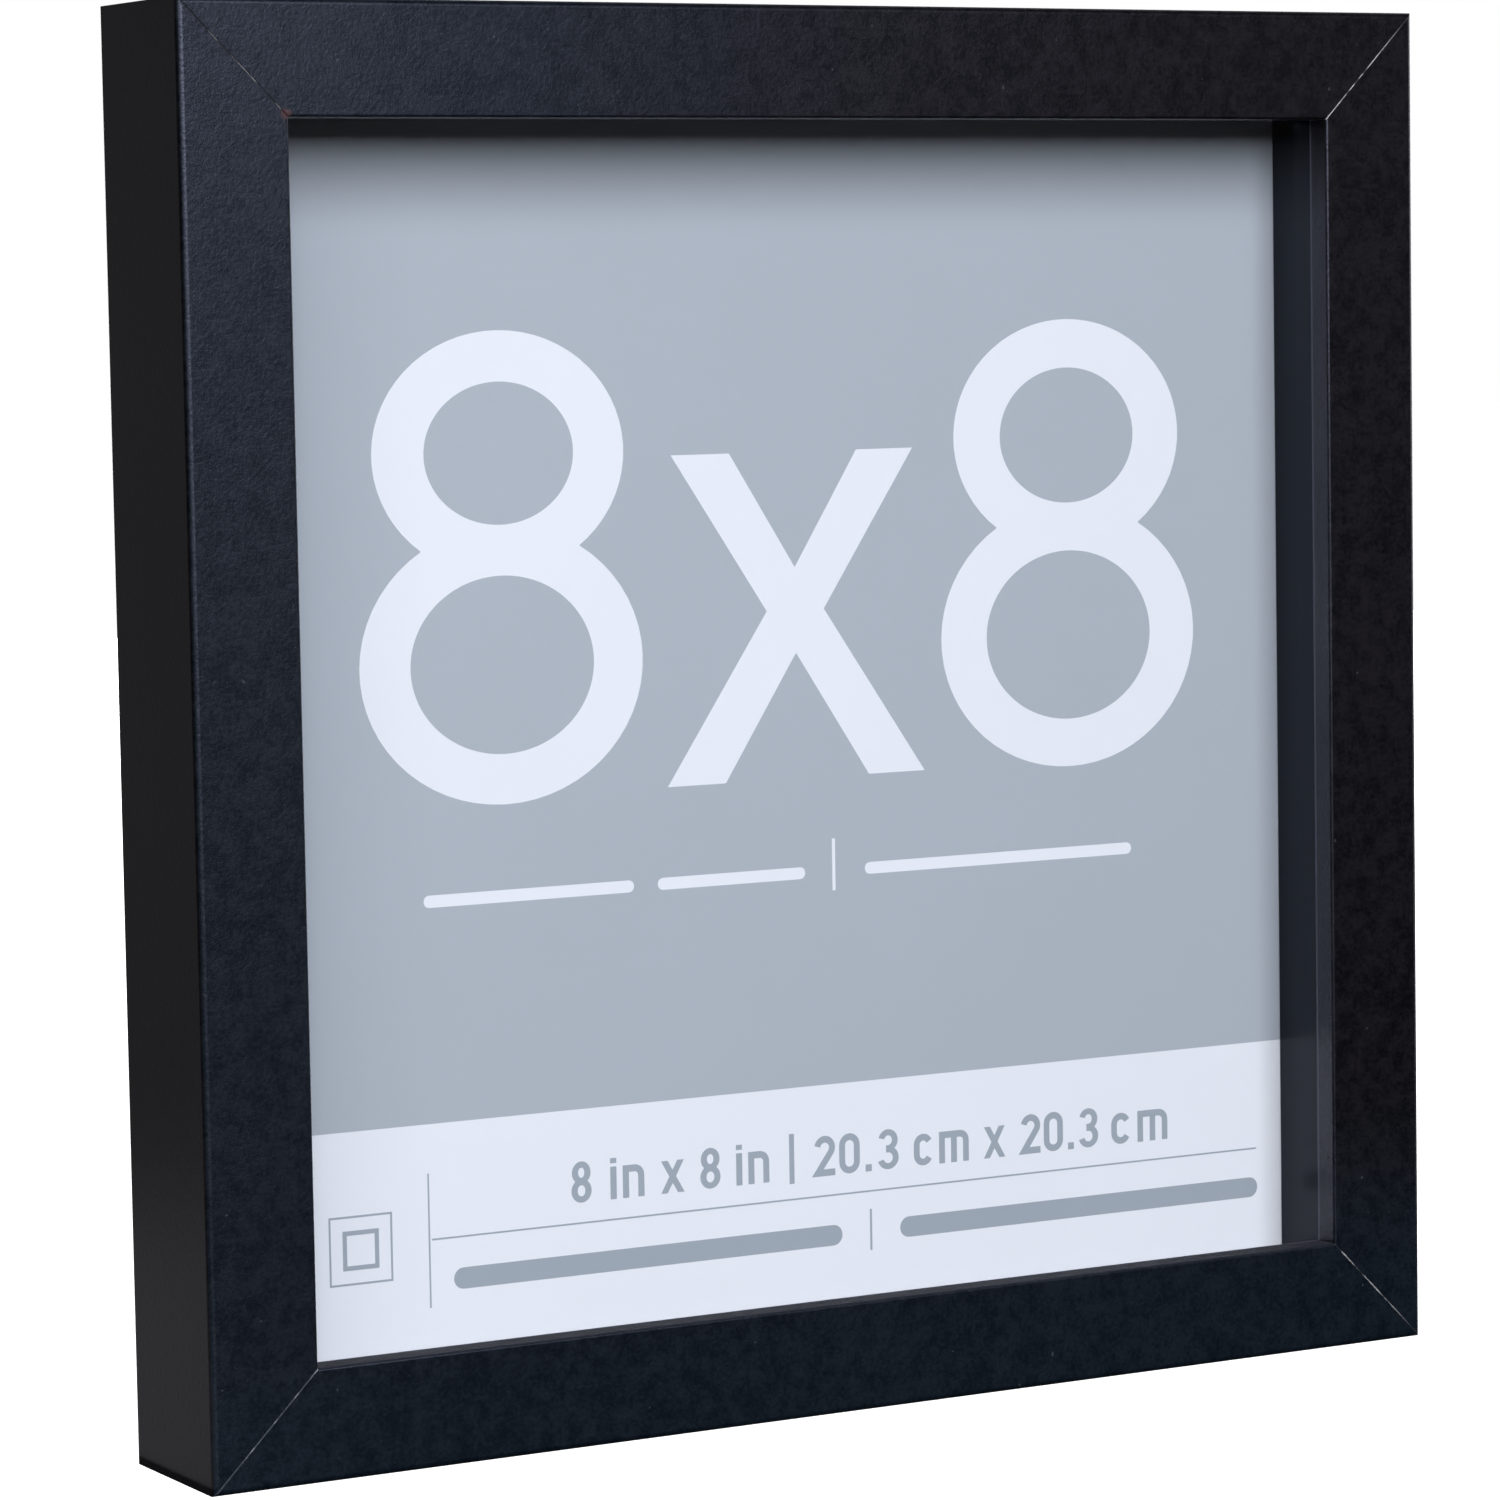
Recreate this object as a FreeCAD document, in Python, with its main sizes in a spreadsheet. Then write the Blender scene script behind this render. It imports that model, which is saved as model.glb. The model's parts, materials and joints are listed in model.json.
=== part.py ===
import FreeCAD, Part
import os

import Sketcher
from FreeCAD import Placement, Rotation, Vector

# Shadow box for an 8 inch square insert: four mitred rails, a glass pane held
# against the front lip by spacer strips, and a lift-out back kept in by turn buttons.
#
# Frame: +X to the right, the front faces -Y, +Z up. The origin is the centre of the
# whole box's footprint, on the plane that the bottom rail stands on.

SIZES = [
    # moulding, a square section with a front lip and a rabbet behind it
    ("outer_side", 228.6),
    ("moulding_depth", 30.0),
    ("face_width", 18.1),
    ("lip_depth", 4.8),
    ("rabbet_wall", 11.7),
    ("edge_round", 1.0),
    ("sight_round", 0.5),
    ("mitre_overrun", 2.0),
    ("mitre_ease", 0.15),
    # how far the rear hardware stands behind the moulding
    ("hardware_height", 3.1),
    # V-nails, measured in from the outer corner of the frame
    ("v_nail_outer_place", 4.4),
    ("v_nail_inner_place", 8.9),
    ("v_nail_wing", 3.0),
    ("v_nail_gauge", 0.6),
    ("v_nail_depth", 8.0),
    ("v_nail_slack", 0.02),
    # what fills the rabbet, from the front
    ("glass_side", 204.4),
    ("glass_thickness", 2.0),
    ("glass_arris", 0.3),
    ("spacer_depth", 14.2),
    ("spacer_thickness", 2.85),
    ("spacer_slack", 0.1),
    ("spacer_round", 0.25),
    ("back_slack", 0.1),
    ("insert_side", 203.2),
    ("insert_thickness", 0.3),
    ("pin_board_side", 203.8),
    ("pin_board_thickness", 5.0),
    ("backing_side", 204.2),
    ("backing_thickness", 3.0),
    ("backing_chamfer", 0.4),
    # turn buttons and the screws that they turn on
    ("button_spacing", 110.0),
    ("button_reach", 24.0),
    ("button_head_half", 4.5),
    ("button_tip_half", 3.4),
    ("button_thickness", 1.0),
    ("button_lift", 0.9),
    ("button_lift_flat", 3.0),
    ("button_lift_ramp", 2.6),
    ("button_bend_round", 1.0),
    ("button_head_round", 4.3),
    ("button_tip_round", 2.8),
    ("button_gap", 0.1),
    ("button_bore_radius", 1.52),
    ("screw_radius", 1.45),
    ("screw_head_radius", 3.0),
    ("screw_head_round", 0.9),
    ("screw_head_gap", 0.06),
    ("screw_length", 10.0),
    ("screw_tip", 2.2),
    ("screw_hole_radius", 1.5),
    ("recess_arm", 1.75),
    ("recess_half_width", 0.42),
    ("recess_depth", 1.0),
    # sawtooth hanger and its nails
    ("hanger_length", 46.0),
    ("hanger_width", 9.5),
    ("hanger_thickness", 0.8),
    ("hanger_rise", 1.7),
    ("hanger_crown_half", 13.5),
    ("hanger_ramp", 2.8),
    ("hanger_end_round", 2.6),
    ("tooth_pitch", 2.2),
    ("tooth_half_width", 0.95),
    ("tooth_depth", 1.6),
    ("hanger_nail_place", 19.6),
    ("hanger_nail_radius", 0.6),
    ("hanger_nail_slack", 0.05),
    ("hanger_nail_length", 10.0),
    ("hanger_nail_tip", 1.5),
    ("hanger_nail_head_radius", 1.5),
    ("hanger_nail_head_height", 0.6),
]
TOOTH_COUNT = 11

# Rails, each with the turn about +Y that brings the bottom rail's shape into its place.
RAIL_TURNS = {
    "bottom_rail": 0.0,
    "left_rail": 90.0,
    "top_rail": 180.0,
    "right_rail": 270.0,
}

# Planes and lines that many pieces share, as expressions on the sheet.
HALF_SIDE = "Sizes.outer_side / 2"
FRONT_PLANE = "-(Sizes.moulding_depth + Sizes.hardware_height) / 2"
REAR_PLANE = "(Sizes.moulding_depth - Sizes.hardware_height) / 2"
GLASS_PLANE = f"{FRONT_PLANE} + Sizes.lip_depth"
SPACER_PLANE = f"{GLASS_PLANE} + Sizes.glass_thickness"
INSERT_PLANE = f"{SPACER_PLANE} + Sizes.spacer_depth + Sizes.back_slack"
PIN_BOARD_PLANE = f"{INSERT_PLANE} + Sizes.insert_thickness"
BACKING_PLANE = f"{PIN_BOARD_PLANE} + Sizes.pin_board_thickness"
BUTTON_PLANE = f"{REAR_PLANE} + Sizes.button_gap"
SCREW_HEAD_PLANE = f"{BUTTON_PLANE} + Sizes.button_thickness + Sizes.screw_head_gap"
SCREW_HEAD_HEIGHT = (
    "(Sizes.hardware_height - Sizes.button_gap"
    " - Sizes.button_thickness - Sizes.screw_head_gap)"
)
WALL_MIDDLE = "(Sizes.outer_side - Sizes.rabbet_wall) / 2"
RABBET_HALF = "(Sizes.outer_side / 2 - Sizes.rabbet_wall)"

doc = FreeCAD.newDocument("ShadowBox")
sheet = doc.addObject("Spreadsheet::Sheet", "Sizes")


def fill_sheet():
    for row, (alias, number) in enumerate(SIZES, start=1):
        sheet.set(f"A{row}", alias)
        sheet.set(f"B{row}", str(number))
        sheet.setAlias(f"B{row}", alias)
    doc.recompute()


def number(expression):
    """The present value of an expression on the sheet, in millimetres."""
    return float(sheet.evalExpression(expression))


# ---------------------------------------------------------------- shared building steps


def new_body(label):
    body = doc.addObject("PartDesign::Body", label)
    body.Label = label
    return body


def place(body, across=None, back=None, up=None, turn=0.0):
    """Put a body in the box: offsets along X, Y and Z, after a turn about Y."""
    body.Placement = Placement(Vector(), Rotation(Vector(0, 1, 0), turn))
    for axis, expression in (("x", across), ("y", back), ("z", up)):
        if expression:
            body.setExpression(f"Placement.Base.{axis}", expression)


def new_sketch(body, name, role, offset=None):
    """A sketch on one of the body's origin planes, moved along its normal by offset."""
    plane = next(p for p in body.Origin.OriginFeatures if p.Role == role)
    sketch = body.newObject("Sketcher::SketchObject", name)
    sketch.AttachmentSupport = [(plane, "")]
    sketch.MapMode = "FlatFace"
    if offset:
        sketch.setExpression("AttachmentOffset.Base.z", offset)
    return sketch


def bind_point(sketch, line, across, along):
    """Tie the start of a line, or the centre of a circle, to two expressions."""
    end = 3 if isinstance(sketch.Geometry[line], Part.Circle) else 1
    for kind, expression in (("DistanceX", across), ("DistanceY", along)):
        constraint = Sketcher.Constraint(kind, -1, 1, line, end, number(expression))
        index = sketch.addConstraint(constraint)
        name = f"{kind}_{line}"
        sketch.renameConstraint(index, name)
        sketch.setExpression(f"Constraints.{name}", expression)


def draw_outline(sketch, corners):
    """A closed outline of straight lines through corners given as expressions."""
    first = sketch.GeometryCount
    count = len(corners)
    points = [Vector(number(a), number(b), 0) for a, b in corners]
    for i in range(count):
        sketch.addGeometry(Part.LineSegment(points[i], points[(i + 1) % count]))
    for i in range(count):
        following = first + (i + 1) % count
        joint = Sketcher.Constraint("Coincident", first + i, 2, following, 1)
        sketch.addConstraint(joint)
    for i, (across, along) in enumerate(corners):
        bind_point(sketch, first + i, across, along)


def draw_square(sketch, side):
    half = f"{side} / 2"
    draw_outline(
        sketch,
        [
            (f"-{half}", f"-{half}"),
            (half, f"-{half}"),
            (half, half),
            (f"-{half}", half),
        ],
    )


def draw_circle(sketch, across, along, radius):
    centre = Vector(number(across), number(along), 0)
    circle = Part.Circle(centre, Vector(0, 0, 1), number(radius))
    line = sketch.addGeometry(circle)
    bind_point(sketch, line, across, along)
    index = sketch.addConstraint(Sketcher.Constraint("Radius", line, number(radius)))
    name = f"Radius_{line}"
    sketch.renameConstraint(index, name)
    sketch.setExpression(f"Constraints.{name}", radius)


def pad(body, sketch, length, side="One side", backwards=False):
    feature = body.newObject("PartDesign::Pad", f"{sketch.Name}_pad")
    feature.Profile = sketch
    feature.SideType = side
    feature.Reversed = backwards
    feature.setExpression("Length", length)
    sketch.Visibility = False
    doc.recompute()
    return feature


def pocket(body, sketch, length=None, side="One side", forwards=False):
    """Cut a sketch out of the body, right through it when no length is given."""
    before = body.Shape.Volume
    feature = body.newObject("PartDesign::Pocket", f"{sketch.Name}_cut")
    feature.Profile = sketch
    feature.SideType = side
    feature.Reversed = forwards
    if length:
        feature.setExpression("Length", length)
    else:
        feature.Type = "ThroughAll"
    sketch.Visibility = False
    doc.recompute()
    if not feature.Shape.Volume < before:
        raise ValueError(f"{feature.Name} cuts nothing")
    return feature


def edges_where(feature, test):
    """Names of the edges whose middle point passes the test."""
    names = []
    for count, edge in enumerate(feature.Shape.Edges, start=1):
        if test(edge.CenterOfMass):
            names.append(f"Edge{count}")
    return names


def ease(body, feature, kind, size, test):
    """Fillet or chamfer the edges of the body that pass the test."""
    names = edges_where(feature, test)
    if not names:
        raise ValueError(f"no edges to ease on {body.Label}")
    eased = body.newObject(f"PartDesign::{kind}", f"{feature.Name}_{kind}")
    eased.Base = (feature, names)
    eased.setExpression("Radius" if kind == "Fillet" else "Size", size)
    doc.recompute()
    return eased


def close(a, b):
    return abs(a - b) < 0.01


def revolve(body, corners):
    """Turn a profile, drawn as (distance from the axis, place along it), about Y."""
    sketch = new_sketch(body, f"{body.Name}_profile", "XY_Plane")
    draw_outline(sketch, corners)
    feature = body.newObject("PartDesign::Revolution", f"{body.Name}_turned")
    feature.Profile = sketch
    feature.ReferenceAxis = (sketch, ["V_Axis"])
    feature.Angle = 360
    sketch.Visibility = False
    doc.recompute()
    return feature


def group(label, bodies):
    compound = doc.addObject("Part::Compound", label)
    compound.Label = label
    compound.Links = bodies
    return compound


# ------------------------------------------------------------------------------- rails


def v_nail_outline(place_in, mirror, slack):
    """One V-nail seen from the front: two wings at a right angle, its point on the
    mitre of the bottom rail's right end, or of its left end when mirror is "-"."""
    point = f"({HALF_SIDE} - {place_in})"
    half = f"(Sizes.v_nail_gauge / 2 + {slack})"
    tip = f"({point} + Sizes.v_nail_wing + {slack})"
    inner = f"({point} - {half})"
    outer = f"({point} + {half})"
    return [
        (f"{mirror}{inner}", f"-{tip}"),
        (f"{mirror}{outer}", f"-{tip}"),
        (f"{mirror}{outer}", f"-{outer}"),
        (f"{mirror}{tip}", f"-{outer}"),
        (f"{mirror}{tip}", f"-{inner}"),
        (f"{mirror}{inner}", f"-{inner}"),
    ]


def cut_mitres(rail):
    """Cut both ends off at 45 degrees, along planes through the box's corners, and ease
    the front edges of the cuts, so that two rails meet in a fine V-shaped seam."""
    sketch = new_sketch(rail, f"{rail.Name}_mitres", "XZ_Plane")
    past = f"({HALF_SIDE} + Sizes.mitre_overrun)"
    inside = f"({HALF_SIDE} - Sizes.face_width - Sizes.mitre_overrun)"
    for mirror in ("", "-"):
        draw_outline(
            sketch,
            [
                (f"{mirror}{past}", f"-{past}"),
                (f"{mirror}{past}", f"-{inside}"),
                (f"{mirror}{inside}", f"-{inside}"),
            ],
        )
    cut = pocket(rail, sketch)
    return ease(rail, cut, "Chamfer", "Sizes.mitre_ease",
                lambda c: close(abs(c.x), -c.z) and close(c.y, 0))


def cut_v_nail_slots(rail):
    sketch = new_sketch(rail, f"{rail.Name}_slots", "XZ_Plane", "-Sizes.moulding_depth")
    for place_in in ("Sizes.v_nail_outer_place", "Sizes.v_nail_inner_place"):
        for mirror in ("", "-"):
            draw_outline(sketch, v_nail_outline(place_in, mirror, "Sizes.v_nail_slack"))
    pocket(rail, sketch, "Sizes.v_nail_depth + Sizes.v_nail_slack", forwards=True)


def drill_rear(rail, spread, radius, depth):
    """Two blind holes in the rear face, each at spread from the rail's middle."""
    sketch = new_sketch(rail, f"{rail.Name}_holes", "XZ_Plane", "-Sizes.moulding_depth")
    for mirror in ("", "-"):
        draw_circle(sketch, f"{mirror}({spread})", f"-({WALL_MIDDLE})", radius)
    pocket(rail, sketch, depth, forwards=True)


def make_rail(label, turn):
    rail = new_body(label)
    section = new_sketch(rail, f"{label}_section", "YZ_Plane")
    outside = f"-{HALF_SIDE}"
    rabbet = f"-{RABBET_HALF}"
    sight = f"-({HALF_SIDE} - Sizes.face_width)"
    draw_outline(
        section,
        [
            ("0", outside),
            ("Sizes.moulding_depth", outside),
            ("Sizes.moulding_depth", rabbet),
            ("Sizes.lip_depth", rabbet),
            ("Sizes.lip_depth", sight),
            ("0", sight),
        ],
    )
    pad(rail, section, "Sizes.outer_side", side="Symmetric")
    bar = cut_mitres(rail)
    outside_z = number(outside)
    sight_z = number(sight)
    bar = ease(rail, bar, "Fillet", "Sizes.edge_round", lambda c: close(c.z, outside_z)
               and close(c.x, 0))
    ease(rail, bar, "Fillet", "Sizes.sight_round", lambda c: close(c.z, sight_z)
         and close(c.y, 0) and close(c.x, 0))
    cut_v_nail_slots(rail)
    if label in ("left_rail", "right_rail"):
        depth = "Sizes.screw_length - Sizes.button_thickness"
        drill_rear(rail, "Sizes.button_spacing / 2", "Sizes.screw_hole_radius", depth)
    if label == "top_rail":
        radius = "Sizes.hanger_nail_radius + Sizes.hanger_nail_slack"
        drill_rear(rail, "Sizes.hanger_nail_place", radius, "Sizes.hanger_nail_length")
    place(rail, back=FRONT_PLANE, up=HALF_SIDE, turn=turn)
    return rail


def make_v_nails():
    nails = []
    for turn in RAIL_TURNS.values():
        for place_in in ("Sizes.v_nail_outer_place", "Sizes.v_nail_inner_place"):
            nail = new_body(f"v_nail_{len(nails) + 1}")
            sketch = new_sketch(nail, f"{nail.Name}_outline", "XZ_Plane")
            draw_outline(sketch, v_nail_outline(place_in, "", "0"))
            pad(nail, sketch, "Sizes.v_nail_depth")
            place(nail, back=REAR_PLANE, up=HALF_SIDE, turn=turn)
            nails.append(nail)
    return group("corner_v_nails", nails)


# ------------------------------------------------------------- what fills the rabbet


def make_panel(label, side, front, thickness, kind=None, size=None):
    """A square sheet centred in the frame, with its front face on the plane front."""
    panel = new_body(label)
    sketch = new_sketch(panel, f"{label}_outline", "XZ_Plane")
    draw_square(sketch, side)
    sheet_pad = pad(panel, sketch, thickness, backwards=True)
    if kind:
        edge = number(side) / 2
        ease(panel, sheet_pad, kind, size, lambda c: not close(c.y, number(thickness) / 2)
             and close(max(abs(c.x), abs(c.z)), edge))
    place(panel, back=front, up=HALF_SIDE)
    return panel


def make_spacer(label, turn, length):
    """A strip along the bottom of the rabbet, turned about Y to its own side."""
    spacer = new_body(label)
    section = new_sketch(spacer, f"{label}_section", "YZ_Plane")
    foot = f"-({RABBET_HALF} - Sizes.spacer_slack)"
    head = f"-({RABBET_HALF} - Sizes.spacer_thickness)"
    draw_outline(
        section,
        [
            ("0", foot),
            ("Sizes.spacer_depth", foot),
            ("Sizes.spacer_depth", head),
            ("0", head),
        ],
    )
    strip = pad(spacer, section, length, side="Symmetric")
    head_z = number(head)
    ease(spacer, strip, "Fillet", "Sizes.spacer_round", lambda c: close(c.z, head_z)
         and close(c.x, 0))
    place(spacer, back=SPACER_PLANE, up=HALF_SIDE, turn=turn)
    return spacer


def make_spacers():
    full = f"2 * ({RABBET_HALF} - Sizes.spacer_slack)"
    between = f"2 * ({RABBET_HALF} - Sizes.spacer_thickness - Sizes.spacer_slack)"
    return [
        make_spacer("spacer_bottom", 0.0, full),
        make_spacer("spacer_left", 90.0, between),
        make_spacer("spacer_top", 180.0, full),
        make_spacer("spacer_right", 270.0, between),
    ]


# -------------------------------------------------------------------------- fastenings


def make_turn_button(label, across, up):
    """A stamped plate that hangs down from its bore, its tip joggled to the rear."""
    button = new_body(label)
    plan = new_sketch(button, f"{label}_plan", "XZ_Plane")
    wide = "Sizes.button_head_half"
    narrow = "Sizes.button_tip_half"
    reach = "Sizes.button_reach"
    draw_outline(
        plan,
        [
            (f"-{wide}", "0"),
            (f"-{narrow}", f"-{reach}"),
            (narrow, f"-{reach}"),
            (wide, "0"),
            (wide, wide),
            (f"-{wide}", wide),
        ],
    )
    full_height = "Sizes.button_thickness + Sizes.button_lift"
    pad(button, plan, full_height, backwards=True)

    side_view = new_sketch(button, f"{label}_side", "YZ_Plane")
    thick = "Sizes.button_thickness"
    lift = "Sizes.button_lift"
    flat_end = "-(Sizes.button_reach - Sizes.button_lift_flat)"
    ramp_end = f"{flat_end} + Sizes.button_lift_ramp"
    above = f"{full_height} + 1"
    beyond = f"-({reach} + 1)"
    past_head = f"{wide} + 1"
    draw_outline(
        side_view,
        [
            (thick, past_head),
            (above, past_head),
            (above, beyond),
            (f"{thick} + {lift}", beyond),
            (f"{thick} + {lift}", flat_end),
            (thick, ramp_end),
        ],
    )
    draw_outline(
        side_view,
        [
            ("-1", beyond),
            (lift, beyond),
            (lift, flat_end),
            ("0", ramp_end),
            ("-1", ramp_end),
        ],
    )
    plate = pocket(button, side_view, side="Symmetric")

    head_z = number(wide)
    tip_z = -number(reach)
    bends = (number(flat_end), number(ramp_end))
    plate = ease(button, plate, "Fillet", "Sizes.button_head_round",
                 lambda c: close(c.z, head_z) and close(abs(c.x), head_z))
    plate = ease(button, plate, "Fillet", "Sizes.button_tip_round",
                 lambda c: close(c.z, tip_z) and close(abs(c.x), number(narrow)))
    plate = ease(button, plate, "Fillet", "Sizes.button_bend_round",
                 lambda c: close(c.x, 0) and (close(c.z, bends[0]) or close(c.z, bends[1])))
    bore = new_sketch(button, f"{label}_bore", "XZ_Plane")
    draw_circle(bore, "0", "0", "Sizes.button_bore_radius")
    pocket(button, bore)
    place(button, across=across, back=BUTTON_PLANE, up=up)
    return button


def make_screw(label, across, up):
    screw = new_body(label)
    radius = "Sizes.screw_radius"
    head_radius = "Sizes.screw_head_radius"
    turned = revolve(
        screw,
        [
            ("0", "-Sizes.screw_length"),
            (radius, "-(Sizes.screw_length - Sizes.screw_tip)"),
            (radius, "0"),
            (head_radius, "0"),
            (head_radius, SCREW_HEAD_HEIGHT),
            ("0", SCREW_HEAD_HEIGHT),
        ],
    )
    rim = number(SCREW_HEAD_HEIGHT)
    ease(screw, turned, "Fillet", "Sizes.screw_head_round", lambda c: close(c.y, rim))
    recess = new_sketch(screw, f"{label}_recess", "XZ_Plane", f"-{SCREW_HEAD_HEIGHT}")
    arm = "Sizes.recess_arm"
    half = "Sizes.recess_half_width"
    quarter = [(arm, half), (half, half), (half, arm)]
    cross = quarter
    cross = cross + [(f"-{a}", b) for a, b in reversed(quarter)]
    cross = cross + [(f"-{a}", f"-{b}") for a, b in quarter]
    cross = cross + [(a, f"-{b}") for a, b in reversed(quarter)]
    draw_outline(recess, cross)
    pocket(screw, recess, "Sizes.recess_depth", forwards=True)
    place(screw, across=across, back=SCREW_HEAD_PLANE, up=up)
    return screw


def make_turn_buttons():
    """Two turn buttons on each side rail, and the screw that each one turns on."""
    buttons = []
    screws = []
    for side, sign in (("left", "-"), ("right", "")):
        for level, step in (("lower", "-"), ("upper", "+")):
            across = f"{sign}({WALL_MIDDLE})"
            up = f"{HALF_SIDE} {step} Sizes.button_spacing / 2"
            buttons.append(make_turn_button(f"turn_button_{side}_{level}", across, up))
            screws.append(make_screw(f"screw_{side}_{level}", across, up))
    return buttons + [group("turn_button_screws", screws)]


def make_hanger():
    """A bridge-shaped strip with a row of teeth cut into its lower edge."""
    hanger = new_body("sawtooth_hanger")
    side_view = new_sketch(hanger, "hanger_side", "XY_Plane")
    end = "Sizes.hanger_length / 2"
    thick = "Sizes.hanger_thickness"
    rise = "Sizes.hanger_rise"
    crown = "Sizes.hanger_crown_half"
    ramp_foot = "(Sizes.hanger_crown_half + Sizes.hanger_ramp)"
    bend = f"{thick} * tan(atan({rise} / Sizes.hanger_ramp) / 2)"
    right_half = [
        (crown, rise),
        (ramp_foot, "0"),
        (end, "0"),
        (end, thick),
        (f"({ramp_foot} + {bend})", thick),
        (f"({crown} + {bend})", f"({rise} + {thick})"),
    ]
    left_half = [(f"-{across}", back) for across, back in reversed(right_half)]
    draw_outline(side_view, right_half + left_half)
    strip = pad(hanger, side_view, "Sizes.hanger_width", side="Symmetric")
    end_x = number(end)
    ease(hanger, strip, "Fillet", "Sizes.hanger_end_round",
         lambda c: close(abs(c.x), end_x) and close(c.y, number(thick) / 2)
         and not close(c.z, 0))

    notch = new_sketch(hanger, "hanger_notch", "XZ_Plane")
    edge = "-Sizes.hanger_width / 2"
    first = f"-{(TOOTH_COUNT - 1) // 2} * Sizes.tooth_pitch"
    draw_outline(
        notch,
        [
            (f"{first} - Sizes.tooth_half_width", edge),
            (f"{first} + Sizes.tooth_half_width", edge),
            (first, f"{edge} + Sizes.tooth_depth"),
        ],
    )
    cut = pocket(hanger, notch)
    teeth = hanger.newObject("PartDesign::LinearPattern", "hanger_teeth")
    teeth.Originals = [cut]
    teeth.Direction = (notch, ["H_Axis"])
    teeth.Occurrences = TOOTH_COUNT
    teeth.setExpression("Length", f"{TOOTH_COUNT - 1} * Sizes.tooth_pitch")
    hanger.Tip = teeth
    doc.recompute()

    holes = new_sketch(hanger, "hanger_holes", "XZ_Plane")
    for mirror in ("", "-"):
        draw_circle(holes, f"{mirror}Sizes.hanger_nail_place", "0",
                    "Sizes.hanger_nail_radius + Sizes.hanger_nail_slack")
    pocket(hanger, holes)
    place(hanger, back=REAR_PLANE, up=f"{HALF_SIDE} + {WALL_MIDDLE}")
    return hanger


def make_hanger_nails():
    nails = []
    for side, sign in (("left", "-"), ("right", "")):
        nail = new_body(f"hanger_nail_{side}")
        revolve(
            nail,
            [
                ("0", "-Sizes.hanger_nail_length"),
                ("Sizes.hanger_nail_radius",
                 "-(Sizes.hanger_nail_length - Sizes.hanger_nail_tip)"),
                ("Sizes.hanger_nail_radius", "0"),
                ("Sizes.hanger_nail_head_radius", "0"),
                ("Sizes.hanger_nail_head_radius", "Sizes.hanger_nail_head_height"),
                ("0", "Sizes.hanger_nail_head_height"),
            ],
        )
        place(
            nail,
            across=f"{sign}Sizes.hanger_nail_place",
            back=f"{REAR_PLANE} + Sizes.hanger_thickness",
            up=f"{HALF_SIDE} + {WALL_MIDDLE}",
        )
        nails.append(nail)
    return group("hanger_nails", nails)


# ------------------------------------------------------------------- build and write


def make_all():
    nodes = [make_rail(label, turn) for label, turn in RAIL_TURNS.items()]
    nodes.append(make_v_nails())
    nodes.append(make_panel("glass_pane", "Sizes.glass_side", GLASS_PLANE,
                            "Sizes.glass_thickness", "Chamfer", "Sizes.glass_arris"))
    nodes += make_spacers()
    nodes.append(make_panel("printed_insert", "Sizes.insert_side", INSERT_PLANE,
                            "Sizes.insert_thickness"))
    nodes.append(make_panel("pin_board", "Sizes.pin_board_side", PIN_BOARD_PLANE,
                            "Sizes.pin_board_thickness"))
    nodes.append(make_panel("backing_board", "Sizes.backing_side", BACKING_PLANE,
                            "Sizes.backing_thickness", "Chamfer",
                            "Sizes.backing_chamfer"))
    nodes += make_turn_buttons()
    nodes.append(make_hanger())
    nodes.append(make_hanger_nails())
    return nodes


def check(nodes):
    for item in doc.Objects:
        if "Invalid" in item.State or "Error" in item.State:
            raise ValueError(f"{item.Label} failed: {item.State}")
    for node in nodes:
        if node.Shape.isNull() or not node.Shape.isValid():
            raise ValueError(f"{node.Label} has no valid shape")


def export(nodes):
    os.makedirs("parts", exist_ok=True)
    for node in nodes:
        node.Shape.exportStep(f"parts/{node.Label}.step")
        box = node.Shape.BoundBox
        print(f"{node.Label}: {len(node.Shape.Solids)} solid(s), "
              f"{box.XLength:.2f} x {box.YLength:.2f} x {box.ZLength:.2f} mm, "
              f"{node.Shape.Volume:.1f} mm3")


fill_sheet()
pieces = make_all()
doc.recompute()
check(pieces)
export(pieces)
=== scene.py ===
import json
import math

import bmesh
import bpy
from mathutils import Matrix, Vector


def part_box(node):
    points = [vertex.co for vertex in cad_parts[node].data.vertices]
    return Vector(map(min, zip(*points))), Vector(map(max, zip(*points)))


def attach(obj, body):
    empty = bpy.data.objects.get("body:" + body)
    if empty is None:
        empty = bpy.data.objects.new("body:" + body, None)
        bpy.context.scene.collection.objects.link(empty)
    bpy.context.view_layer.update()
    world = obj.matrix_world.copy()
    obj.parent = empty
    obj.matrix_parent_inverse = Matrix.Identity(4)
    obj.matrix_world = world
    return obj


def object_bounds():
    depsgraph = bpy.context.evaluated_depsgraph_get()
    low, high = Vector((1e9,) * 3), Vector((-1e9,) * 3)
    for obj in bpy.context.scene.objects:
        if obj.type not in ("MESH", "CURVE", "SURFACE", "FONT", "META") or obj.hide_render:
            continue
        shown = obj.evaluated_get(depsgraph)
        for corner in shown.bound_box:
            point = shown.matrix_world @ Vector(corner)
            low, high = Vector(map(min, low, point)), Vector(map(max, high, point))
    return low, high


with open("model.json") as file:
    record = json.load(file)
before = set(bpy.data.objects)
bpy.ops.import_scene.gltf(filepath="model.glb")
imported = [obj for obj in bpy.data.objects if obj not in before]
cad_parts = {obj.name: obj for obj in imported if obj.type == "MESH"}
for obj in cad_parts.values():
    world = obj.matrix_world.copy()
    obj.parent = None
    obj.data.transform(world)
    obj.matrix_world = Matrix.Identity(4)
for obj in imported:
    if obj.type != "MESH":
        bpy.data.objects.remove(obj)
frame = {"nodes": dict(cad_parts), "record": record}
CAD_LOW, CAD_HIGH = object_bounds()

MM = 0.001

# ------------------------------------------------------------- places from the CAD frame

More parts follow.
